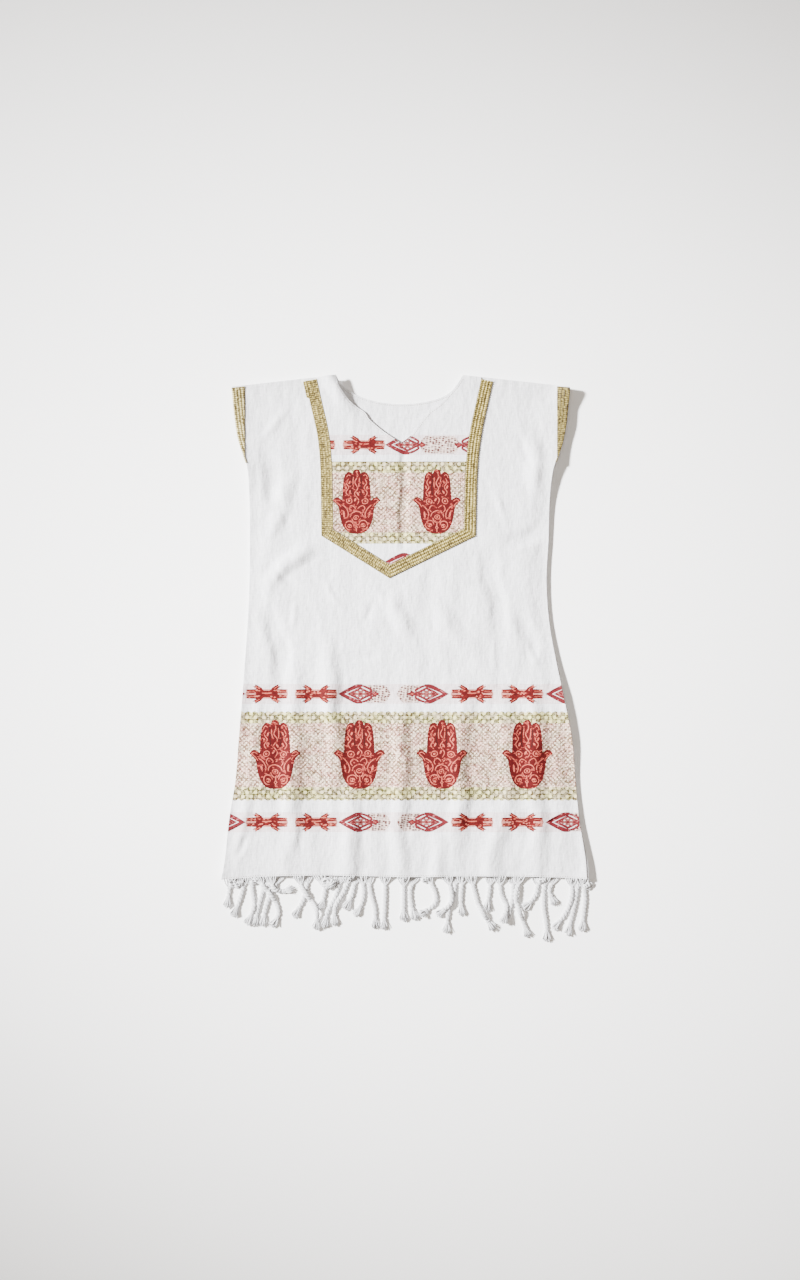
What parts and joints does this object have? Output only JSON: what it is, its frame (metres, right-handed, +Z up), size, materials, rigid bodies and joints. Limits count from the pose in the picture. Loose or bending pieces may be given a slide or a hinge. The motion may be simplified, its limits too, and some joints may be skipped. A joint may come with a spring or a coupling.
{
  "type": "jebba",
  "caption": "Child's white cotton jebba laid flat: a short-sleeved tunic with a braid-edged plastron, woven bands of hands and stars, and a twisted fringe at the hem",
  "frame": {"origin": "under the middle of the garment's box, on the surface it lies on", "axes": "+X to the right as it is seen from above, +Y from the hem toward the neck, +Z up, away from the surface; the front faces +Z"},
  "size_m": [0.5503, 0.8498, 0.02],
  "materials": {
    "white_cotton": "plain-woven white cotton, matt, with red, olive and pale pink bands woven in near the hem",
    "border_cotton": "the same cotton cut from its woven border, matt",
    "gold_braid": "flat old-gold braid with ribs along it and a soft sheen",
    "cotton_cord": "white cotton warp ends twisted into cords, with frayed tufts"
  },
  "bodies": {
    "root": {"back_panel": "white_cotton", "front_panel": "white_cotton", "plastron": "border_cotton", "plastron_braid": "gold_braid", "cuff_braid_left_front": "gold_braid", "cuff_braid_left_back": "gold_braid", "cuff_braid_right_front": "gold_braid", "cuff_braid_right_back": "gold_braid", "fringe_back": "cotton_cord", "fringe_front": "cotton_cord"}
  },
  "joints": []
}
